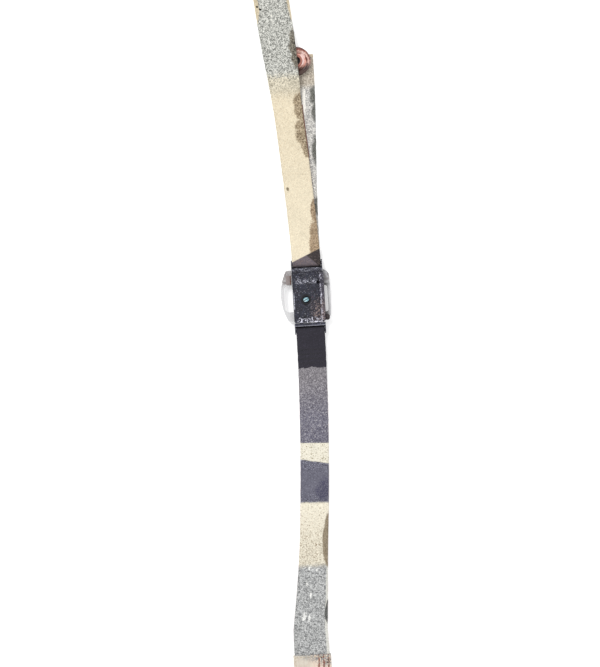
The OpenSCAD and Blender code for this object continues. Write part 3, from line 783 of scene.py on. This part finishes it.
def tab_material():
    """Pinkish-cream leather with red-brown stripes along its right-hand edge."""
    s = Surface("leather_striped", roughness=0.6, specular=0.35)
    at = s.place()
    x, y, _ = s.split(at)
    across, _, _ = s.split(s.run())
    grain = s.cells(at, 1.4)
    pores = s.noise(at, 2.6, 4, 0.6)
    wander = s.centred(s.noise(at, 0.3, 3, 0.6), 3.0)
    moved = s.add(across, wander)
    stripe = s.ease(s.sine(s.mul(moved, 2 * math.pi / TAB_STRIPE)), 0.25, 0.6)
    on_edge = s.ease(moved, 3.0, 6.0)
    amount = s.mul(stripe, s.add(s.mul(on_edge, 0.92), 0.08))
    ground = s.mix(s.ease(moved, -6.0, 4.0), colour(214, 206, 192), PINK_CREAM)
    base = s.mix(amount, ground, RUST)
    speck = s.ease(s.noise(at, 0.7, 3, 0.75, 0.8), 0.46, 0.54)
    slanted = s.add(s.mul(x, 0.42), s.add(y, wander))
    near_edge = s.mul(speck, s.ease(y, 0, -1))          # on the lower tab only
    base = s.mix(s.mul(s.ease(slanted, *TAB_SPECKLES), near_edge), base, colour(140, 141, 140))
    dots = s.ease(s.cells(at, 0.28), 0.30, 0.20)
    base = s.mix(s.mul(dots, s.mul(on_edge, 0.9)), base, colour(50, 36, 30))
    base = s.mix(s.ease(grain, 0.1, 0.5, 0.22, 0.0), base, colour(150, 118, 98))
    cloud = s.noise(at, 0.12, 4, 0.6)
    base = s.mix(s.ease(cloud, 0.45, 0.8, 0.0, 0.35), base, colour(176, 128, 104))
    s.set("Base Color", base)
    s.set("Roughness", s.ease(pores, 0.3, 0.8, 0.5, 0.75))
    s.bump(s.sub(s.mul(pores, 0.4), s.mul(grain, 0.6)), 0.14, 0.8)
    return s.material


def painted_steel(name, rub, base=(36, 37, 48), low_lip_wear_and_glint=0.0, top_lip=0.0, scuffs=0.0,
                  warm=0.0, side_wear_and_glint=0.0, seam_wear_and_glint=0.0, low_line=0.0):
    """Black paint rubbed through to bright metal, each kind in its own place; the bright marks on
    the lower lip, the left side, the rail's edge and the lower edge are partly painted glints.
    """
    s = Surface(name, specular=0.35)
    at = s.place()
    x, y, z = s.split(at)
    cloud = s.noise(at, 0.22, 5, 0.65)
    grit = s.noise(at, 0.85, 4, 0.75, 0.4)
    wobble = s.centred(cloud, 3.0)
    wear_and_glint = s.mul(s.ease(grit, 0.585, 0.64), rub)

    def add_bright_marks(place, pattern, amount):
        return s.larger(wear_and_glint, s.mul(s.mul(place, pattern), amount))

    # lower lip: rubbed metal and painted glints
    if low_lip_wear_and_glint:
        place = s.mul(s.ease(s.add(y, wobble), *LOW_LIP_Y), s.ease(z, *LIP_Z))
        place = s.mul(place, s.ease(x, -11.5, -9.5))
        wear_and_glint = add_bright_marks(place, s.ease(s.noise(at, 0.42, 4, 0.75, 0.8), 0.52, 0.56), low_lip_wear_and_glint)
        wear_and_glint = add_bright_marks(s.around(y, LOW_RIM_Y, 0.3, 0.1), 1.0, 0.06)
    if top_lip:
        place = s.mul(s.ease(y, *TOP_LIP_Y), s.ease(z, *LIP_Z))
        splash = s.noise(s.scaled(at, (0.7, 1.8, 1)), 0.7, 4, 0.75, 0.8)
        wear_and_glint = add_bright_marks(place, s.ease(splash, 0.55, 0.62), top_lip)
    if scuffs:
        place = s.mul(s.around(s.add(y, wobble), SCUFFS_Y, 2.4, 1.2), s.around(x, -1.2, 10.0, 8.0))
        scratch = s.noise(s.scaled(at, (0.7, 1.2, 1)), 0.7, 4, 0.75, 1.0)
        wear_and_glint = add_bright_marks(place, s.ease(scratch, 0.54, 0.59), scuffs)
        wear_and_glint = add_bright_marks(s.ease(y, 6, 14), s.ease(grit, 0.57, 0.62), 0.36)
    # a bright line along the lower edge: partly rubbed metal, partly a painted glint
    if low_line:
        place = s.mul(s.around(y, LOW_LINE_Y, 0.7, 0.2), s.ease(z, 8.6, 9.2))
        wear_and_glint = add_bright_marks(place, s.ease(s.noise(at, 0.45, 3, 0.7), 0.34, 0.52, 0.4, 1.0), low_line)
    # left side: rubbed metal and painted glints along the edge
    if side_wear_and_glint:
        place = s.mul(s.around(x, SIDE_WEAR_GLINT_X, 0.9, 0.4), s.around(y, SIDE_WEAR_GLINT_Y, 8.5, 6.0))
        wear_and_glint = add_bright_marks(place, s.ease(s.noise(at, 0.45, 3, 0.6), 0.40, 0.50), side_wear_and_glint)
    # the rail's edge: rubbed metal and a painted highlight along it
    if seam_wear_and_glint:
        jagged = s.centred(s.noise(at, 0.45, 3, 0.7), 5.0)
        place = s.mul(s.around(s.add(x, jagged), SEAM_X, 0.9, 0.4), s.ease(y, -16, 4, 0.5, 1.0))
        flakes = s.noise(s.scaled(at, (1, 1, -1)), 0.5, 3, 0.7)
        wear_and_glint = add_bright_marks(place, s.ease(flakes, 0.47, 0.55), seam_wear_and_glint)
    paint = s.mix(s.ease(cloud, 0.36, 0.66), colour(*base), times(base, 1.35))
    if warm:
        dusty = s.mul(s.ease(y, 4, -12), s.ease(x, -2, 9))
        speck = s.mul(s.ease(grit, 0.48, 0.55), warm)
        paint = s.mix(s.mul(dusty, speck), paint, colour(140, 120, 112))
        rusty = s.ease(s.noise(s.scaled(at, (1, -1, 1)), 0.8, 3, 0.7), 0.60, 0.68)
        paint = s.mix(s.mul(rusty, 0.5), paint, colour(92, 58, 66))
    dark_pits = s.ease(s.noise(s.scaled(at, (-1, 1, 1)), 0.7, 3, 0.7), 0.52, 0.60)
    paint = s.mix(s.mul(dark_pits, 0.8), paint, times(base, 0.4))
    s.set("Base Color", s.mix(wear_and_glint, paint, BARE_METAL_AND_GLINT))
    s.set("Metallic", s.mul(wear_and_glint, 0.2))
    s.set("Roughness", s.ease(cloud, 0.3, 0.7, 0.46, 0.66))
    s.bump(s.sub(s.mul(grit, 0.5), s.mul(wear_and_glint, 0.6)), 0.16, 0.7)
    return s.material


def bow_material(name, shaded_from, shade, glow, housing_shade=0.0):
    """Worn steel, bright over most of its length, with painted shade towards its upper end and, when
    asked, painted shade beside the housing.

    The lock's ear, which stands up beside the housing, keeps its dark paint.
    """
    s = Surface(name, metallic=0.25, specular=0.5)
    at = s.place()
    x, y, z = s.split(at)
    cloud = s.noise(at, 0.25, 4, 0.65)
    brushed = s.noise(s.scaled(at, (1, 0.3, 1)), 1.6, 4, 0.7)
    # painted shade towards the upper end
    upper_shade = s.ease(s.add(y, s.centred(cloud, 14)), shaded_from - 5, shaded_from + 8)
    base = s.mix(upper_shade, colour(*glow), colour(*shade))
    base = s.mix(s.ease(brushed, 0.42, 0.66, 0.0, 0.45), base, colour(186, 184, 184))
    stained = s.mul(upper_shade, s.ease(cloud, 0.46, 0.62))
    base = s.mix(s.mul(stained, 0.7), base, colour(96, 84, 82))
    # painted shade on the bow where it lies close beside the housing
    if housing_shade:
        shade_by_housing = s.ease(s.add(x, s.centred(cloud, 3.0)), 20.0, 14.6)
        shade_by_housing = s.mul(shade_by_housing, s.ease(y, 17, 9, 0.35, 1.0))
        base = s.mix(s.mul(shade_by_housing, housing_shade), base, colour(84, 82, 84))
    ear = s.mul(s.ease(z, *EAR_Z), s.ease(x, *EAR_X))
    base = s.mix(ear, base, colour(62, 59, 70))
    s.set("Base Color", base)
    s.set("Roughness", s.ease(brushed, 0.3, 0.75, 0.30, 0.48))
    s.bump(brushed, 0.06, 0.5)
    return s.material


def steel(name, tone, roughness, stain=(120, 112, 110), stained=0.25):
    """Brushed bare metal with stains."""
    s = Surface(name, metallic=1.0)
    at = s.place()
    brushed = s.noise(s.scaled(at, (0.3, 3.0, 3.0)), 2.2, 4, 0.7)
    cloud = s.noise(at, 0.25, 4, 0.65)
    base = s.mix(s.ease(brushed, 0.3, 0.7), colour(*tone), times(tone, 0.86))
    s.set("Base Color", s.mix(s.ease(cloud, 0.5, 0.72, 0.0, stained), base, colour(*stain)))
    s.set("Roughness", s.ease(brushed, 0.3, 0.75, roughness - 0.06, roughness + 0.14))
    s.bump(brushed, 0.05, 0.5)
    return s.material


def screw_material():
    """Blued steel, with a painted glint in a slanting ellipse, painted shade round it, and a darker
    teal below the head's top.
    """
    s = Surface("screw_blued", roughness=0.3, metallic=0.4)
    at = s.place()
    x, y, z = s.split(at)
    dx, dy = s.add(x, 2.3), s.add(y, 2.4)
    u = s.add(s.mul(dx, 0.94), s.mul(dy, 0.34))
    v = s.sub(s.mul(dy, 0.94), s.mul(dx, 0.34))
    glint_oval = s.add(s.mul(s.mul(u, u), 0.13), s.mul(s.mul(v, v), 0.30))
    cloud = s.noise(at, 0.9, 4, 0.7)
    glint_oval = s.add(glint_oval, s.centred(cloud, 0.6))
    # the painted glint's colours
    lit = s.mix(s.ease(cloud, 0.42, 0.60), colour(120, 172, 184), colour(214, 236, 240))
    # painted shade round the glint
    base = s.mix(s.ease(glint_oval, 0.75, 1.05), lit, colour(26, 40, 52))
    s.set("Base Color", s.mix(s.ease(z, 10.85, 10.75), base, colour(34, 66, 78)))
    s.set("Roughness", s.ease(cloud, 0.3, 0.7, 0.24, 0.42))
    s.bump(cloud, 0.06, 0.5)
    return s.material


def rubber(name, tone):
    s = Surface(name, roughness=0.62)
    at = s.place()
    pores = s.noise(at, 2.4, 4, 0.6)
    ribs = s.sine(s.mul(s.split(at)[1], 2 * math.pi / 1.6))
    base = s.mix(s.ease(pores, 0.35, 0.7), colour(*tone), times(tone, 1.3))
    s.set("Base Color", base)
    s.set("Roughness", s.ease(pores, 0.3, 0.7, 0.5, 0.72))
    s.bump(s.add(s.mul(ribs, 0.5), pores), 0.18, 0.7)
    return s.material


def ring_material():
    """Glossy red-brown over a broad rim, with painted highlights along its rolled top, on the inner
    lip and in a long bright mark, and painted shade at its outer edge, in the groove and over its
    lower side.
    """
    s = Surface("ring_red_brown", roughness=0.28, specular=0.3)
    s.set("Coat Weight", 0.2)
    s.set("Coat Roughness", 0.08)
    at = s.place()
    dx, dy = s.from_ring(at)
    slip = s.add(s.mul(dx, -0.16), s.mul(dy, 0.14))
    cloud = s.noise(at, 0.24, 5, 0.65, 1.2)
    veins = s.ease(s.noise(at, 0.6, 3, 0.7, 1.4), 0.53, 0.62)
    wobble = s.centred(cloud, 6.0)
    r = s.add(s.add(s.root(s.squares(dx, dy)), wobble), slip)
    base = s.mix(s.ease(cloud, 0.40, 0.60), colour(168, 106, 92), colour(116, 62, 54))
    # painted shade at the outer edge, where the rim turns down
    base = s.mix(s.ease(r, 10.9, 12.2), base, colour(92, 54, 48))
    # painted highlight along the rim's rolled top
    roll_highlight = s.ease(s.abs(s.sub(r, 9.4)), 1.3, 0.3, 0.0, 0.75)
    base = s.mix(roll_highlight, base, colour(244, 206, 192))
    # painted shade in the groove
    groove = s.mul(s.ease(r, 8.5, 8.0), s.ease(cloud, 0.62, 0.5, 0.35, 1.0))
    base = s.mix(groove, base, colour(96, 50, 44))
    # painted highlight on the inner lip
    base = s.mix(s.ease(r, 7.6, 7.0), base, colour(226, 168, 152))
    base = s.mix(s.mul(veins, 0.4), base, colour(112, 60, 52))
    # a painted highlight in a long mark
    highlight_streak_x = s.div(s.sub(s.add(dx, wobble), 5.9), 1.7)
    highlight_streak_y = s.div(s.sub(dy, 2.0), 6.5)
    highlight_streak = s.ease(s.squares(highlight_streak_x, highlight_streak_y), 1.2, 0.4, 0.0, 0.85)
    base = s.mix(highlight_streak, base, colour(240, 212, 206))
    # painted shadow over the lower side
    low = s.ease(s.sub(s.add(dy, wobble), s.mul(dx, 0.25)), -3.0, -9.0)
    s.set("Base Color", s.mix(s.mul(low, 0.92), base, colour(40, 18, 12)))
    s.bump(s.noise(at, 0.9, 4, 0.6), 0.12, 0.5)
    return s.material


def post_material():
    """Dark brown, partly the post's own colour and partly painted shade standing for the ring's dark
    hole, with a red-brown rim round its cap.
    """
    s = Surface("ring_post_brown", roughness=0.3, specular=0.4)
    at = s.place()
    cloud = s.noise(at, 0.5, 4, 0.65, 0.8)
    r = s.add(s.root(s.squares(*s.from_ring(at))), s.centred(cloud, 2.5))
    base = s.mix(s.ease(r, 3.4, 4.2), colour(42, 26, 22), colour(168, 108, 94))
    s.set("Base Color", s.mix(s.ease(cloud, 0.52, 0.66, 0.0, 0.4), base, colour(86, 48, 40)))
    s.bump(cloud, 0.08, 0.5)
    return s.material


def thread_material(name, tone):
    s = Surface(name, roughness=0.75)
    at = s.place()
    x, y, _ = s.split(at)
    twist = s.sine(s.mul(s.add(x, y), 2 * math.pi / 0.5))
    fuzz = s.noise(at, 4.0, 3, 0.6)
    s.set("Base Color", s.mix(s.ease(fuzz, 0.3, 0.7), colour(*tone), times(tone, 0.75)))
    s.bump(s.add(twist, fuzz), 0.06, 0.7)
    return s.material


# ---- Webbing runs ----

def upper_strap():
    """One length of webbing: the tail, its turn round the bar, and the front run."""
    turned = turn(BAR_Y, BAR_Z, TURN_R, 270, 90)
    tail = run(TAIL_STOPS, TAIL_END, BAR_Y)
    front = run(FRONT_STOPS, BAR_Y, UPPER_END)
    tail_piece = sweep("upper_strap_tail", tail, tail_x, narrow_half, WEB_T, tail_material(),
                       selvedge=SELVEDGE, ripple=0.10, fray=0.25, seed=4.0)
    front_piece = sweep("upper_strap_front", turned[:-1] + front, upper_x, upper_half, WEB_T,
                        upper_front_material(), selvedge=SELVEDGE, ripple=0.12, fray=0.3, seed=1.0)
    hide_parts("upper_webbing")
    for piece in (front_piece, tail_piece):
        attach(piece, "upper_run")


def lower_strap():
    turned = turn(-BAR_Y, BAR_Z, TURN_R, 270, 450)
    fold = run(FOLD_STOPS, FOLD_END, BAR_Y, side=-1)
    main = run(LOWER_STOPS, BAR_Y, LOWER_END, side=-1)
    piece = sweep("lower_strap", fold[:-1] + turned[:-1] + main, lower_x, lower_half, WEB_T,
                  lower_material(), selvedge=SELVEDGE, ripple=0.12, fray=0.3, seed=9.0)
    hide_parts("lower_webbing")
    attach(piece, "lower_run")


def linings(leather):
    """The leather strips under the two runs."""
    def shifted(y):
        far, start, length = LINING_SHIFT
        return upper_x(y) + far * smooth((y - start) / length)

    def tucked(y):
        return upper_half(y) - 0.5

    for name, node, body, (z, y0, y1), side, centre, half in [
            ("upper_lining_strip", "upper_lining", "upper_run", UPPER_LINING, 1, shifted, tucked),
            ("lower_lining_strip", "lower_lining", "lower_run", LOWER_LINING, -1, lower_x,
             lower_half)]:
        path = [(side * y, z) for y in range(y0, y1, 2)]
        piece = sweep(name, path, centre, half, LINING_T, leather, across=12, fray=0.15, seed=2.0)
        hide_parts(node)
        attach(piece, body)


def tail_edge(tape):
    """The pale binding folded over the tail's end."""
    low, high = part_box("tail_binding")
    y0, y1 = low.y / MM, high.y / MM
    path = [(y0 + (y1 - y0) * i / 4, BINDING_Z) for i in range(5)]
    piece = sweep("tail_edge", path, tail_x, lambda y: NARROW / 2 + 0.1, WEB_T, tape, across=12)
    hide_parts("tail_binding")
    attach(piece, "upper_run")


# ---- End tabs ----

def end_tab(name, node, body, stations, side, centre, leather, thread):
    """A leather strip folded round the end loop, sewn and riveted to the webbing."""
    start, straight, loop_y = stations
    low_layer = [(side * (start + (loop_y - start) * i / 20), 0.55) for i in range(20)]
    round_loop = turn(side * loop_y, TAB_LOOP_Z, TAB_LOOP_R, 270, 450 if side > 0 else 90, n=20)
    top_stops = [(start, 3.25), (straight - 5, 3.25), (loop_y, TAB_LOOP_Z + TAB_LOOP_R)]
    top_layer = run(top_stops, loop_y, start, side=side, step=1.7)[1:]
    path = low_layer + round_loop + top_layer
    thick = [1.05] * len(path)
    for i in range(len(low_layer) - 2, len(low_layer) + len(round_loop) + 2):
        thick[i] = 1.5
    piece = sweep(name, path, centre, lambda y: TAB_W / 2, lambda i: thick[i], leather,
                  across=16, fray=0.15, seed=side * 3.0)
    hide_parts(node)
    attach(piece, body)
    places = []
    stitch_z = TAB_TOP_Z + 0.04
    for edge in (-1, 1):
        y = start + 2.0
        while y < straight - 6:
            x = centre(side * y) + edge * (TAB_W / 2 - 1.8)
            places.append((x, side * y, stitch_z, 90))
            y += STITCH_PITCH
    for y in (start + 1.6, straight - 4.6):
        x = -TAB_W / 2 + 3.4
        while x < TAB_W / 2 - 3:
            places.append((centre(side * y) + x, side * y, stitch_z, 0))
            x += STITCH_PITCH
    sewn = stitches(name + "_stitching", places, thread)
    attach(sewn, body)


def rivets(node, body, stations, side, centre, brass):
    piece = None
    for y in stations:
        for edge in (-1, 1):
            at = (centre(side * y) + edge * RIVET_X, side * y, 0)
            one = lathe(f"{node}_{y}_{edge + 1}", RIVET_PROFILE, at, brass, steps=40)
            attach(one, body)
            piece = piece or one
    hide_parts(node)


def bartack(thread):
    """Four dense zigzag rows that hold the lower fold together."""
    places = []
    top = FOLD_Z + WEB_T * 1.5 + 0.12
    for y in BARTACK_ROWS:
        x = -BARTACK_HALF
        lean = BARTACK_LEAN
        while x <= BARTACK_HALF:
            places.append((lower_x(y) + x, y, top, lean))
            lean = -lean
            x += BARTACK_PITCH
    piece = stitches("lower_bartack_threads", places, thread, length=2.2, radius=0.24)
    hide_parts("lower_bartack")
    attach(piece, "lower_run")


# ---- Ring ----

def pull_ring():
    """A moulded ring with a rolled rim, a groove and an inner lip."""
    piece = lathe("pull_ring_moulded", RING_PROFILE, (*RING_AT, 0), ring_material())
    smoothing = piece.modifiers.new("smoothing", "SUBSURF")
    smoothing.levels = 1
    smoothing.render_levels = 1
    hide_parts("pull_ring")
    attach(piece, "ring")


# ---- Buckle ----

def buckle():
    """Rounded copies of the CAD's own solids, each with its paint or metal and its rounding."""
    shell = painted_steel("black_paint_shell", base=(34, 35, 46), low_lip_wear_and_glint=1.3, top_lip=0.6,
                          rub=0.24, warm=0.6, side_wear_and_glint=0.9)
    cover = painted_steel("black_paint_cover", base=(32, 34, 45), scuffs=0.8, rub=0.24, warm=0.9)
    plain = painted_steel("black_paint_plain", rub=0.15)
    rail = painted_steel("rail_paint", base=(56, 53, 64), rub=0.55, warm=1.0, seam_wear_and_glint=0.75)
    # near-black paint on the cup washer: painted shade in the recess round the screw
    dish_shade = painted_steel("dish_shade_paint", base=(18, 16, 22), rub=0.05)
    flange = painted_steel("flange_paint", base=(46, 47, 60), rub=0.3, low_line=0.26)
    right = bow_material("bow_steel_right", 12, shade=(190, 190, 194), glow=(212, 212, 214),
                         housing_shade=0.95)
    left = bow_material("bow_steel_left", 11, shade=(174, 170, 170), glow=(220, 220, 221))
    # the copper spring leaf is a real part; its tone also paints the shade in the gap beside the
    # housing
    copper = steel("copper_leaf", (150, 110, 94), 0.42, stain=(96, 70, 60), stained=0.5)
    for node, material, width in [
            ("housing_shell", shell, 0.45),
            ("cover_plate", cover, 0.25),
            ("cup_washer", dish_shade, 0.12),
            ("cover_screw", screw_material(), 0.12),
            ("lock_barrel", rail, 0.25),
            ("top_bar", plain, 0.2),
            ("left_bow", left, 0.25),
            ("left_spring_leaf", copper, 0.1),
            ("left_grip", rubber("grip_rubber", (124, 114, 112)), 0.3),
            ("right_bow", right, 0.25),
            ("lock_rod", steel("rod_steel", (170, 170, 178), 0.3), 0.2),
            ("lock_knob", rubber("knob_rubber", (36, 26, 28)), 0.25),
            ("tongue_plate", flange, 0.3),
            ("bottom_bar", plain, 0.2),
            ("ring_post", post_material(), 0.12)]:
        rounded_copy(node, material, width)


# ---- Setting ----

def floor():
    s = Surface("floor_pale", roughness=0.9, specular=0.1)
    cloud = s.noise(s.place(), 0.004, 2)
    s.set("Base Color", s.mix(s.ease(cloud, 0.3, 0.7), colour(244, 244, 244), colour(248, 248, 248)))
    s.set("Emission Color", (1.0, 1.0, 1.0, 1.0))
    s.set("Emission Strength", FLOOR_GLOW)
    corners = [(x * FLOOR_HALF, y * FLOOR_HALF, FLOOR_Z)
               for x, y in [(-1, -1), (1, -1), (1, 1), (-1, 1)]]
    new_object("floor", corners, [(0, 1, 2, 3)], s.material)


def area_light(name, at, size, power):
    """A round lamp that looks at the origin, with its place and size in metres."""
    data = bpy.data.lights.new(name, "AREA")
    data.shape = "DISK"
    data.size = size
    data.energy = power
    obj = bpy.data.objects.new(name, data)
    bpy.context.scene.collection.objects.link(obj)
    obj.location = at
    obj.rotation_euler = (-Vector(at)).to_track_quat("-Z", "Y").to_euler()


def lights():
    world = bpy.data.worlds.new("studio")
    world.use_nodes = True
    background = world.node_tree.nodes["Background"]
    background.inputs["Color"].default_value = (1.0, 1.0, 1.0, 1.0)
    background.inputs["Strength"].default_value = WORLD_STRENGTH
    bpy.context.scene.world = world
    area_light("key", (-1.1, 1.3, 2.2), 1.2, 36)
    area_light("fill", (1.6, -0.8, 1.8), 1.6, 10)


def camera():
    """Straight above, and rolled a little so that the strap leans as it does in the picture."""
    data = bpy.data.cameras.new("camera")
    data.lens = LENS_MM
    data.sensor_fit = "VERTICAL"
    data.sensor_height = SENSOR_MM
    data.clip_start = 0.01
    obj = bpy.data.objects.new("camera", data)
    bpy.context.scene.collection.objects.link(obj)
    height = VIEW_HEIGHT * LENS_MM / SENSOR_MM
    obj.location = (VIEW_CENTRE[0] * MM, VIEW_CENTRE[1] * MM, height * MM)
    obj.rotation_euler = (0, 0, math.radians(VIEW_ROLL))
    bpy.context.scene.camera = obj


def main():
    bpy.context.scene.view_settings.view_transform = "Standard"
    leather = leather_material()
    striped = tab_material()
    light_thread = thread_material("thread_pale", (214, 200, 172))
    dark_thread = thread_material("thread_dark", (56, 54, 62))
    brass = steel("rivet_aged", (176, 152, 118), 0.36, stain=(86, 66, 48), stained=0.6)
    upper_strap()
    lower_strap()
    linings(leather)
    tail_edge(leather_material("binding_pale", (206, 192, 168), (176, 160, 138)))
    end_tab("upper_tab", "upper_end_tab", "upper_run", UPPER_TAB, 1, upper_x, striped, light_thread)
    end_tab("lower_tab", "lower_end_tab", "lower_run", LOWER_TAB, -1, lower_x, striped, light_thread)
    rivets("upper_end_rivets", "upper_run", UPPER_RIVETS, 1, upper_x, brass)
    rivets("lower_end_rivets", "lower_run", LOWER_RIVETS, -1, lower_x, brass)
    bartack(dark_thread)
    pull_ring()
    buckle()
    floor()
    lights()
    camera()


main()
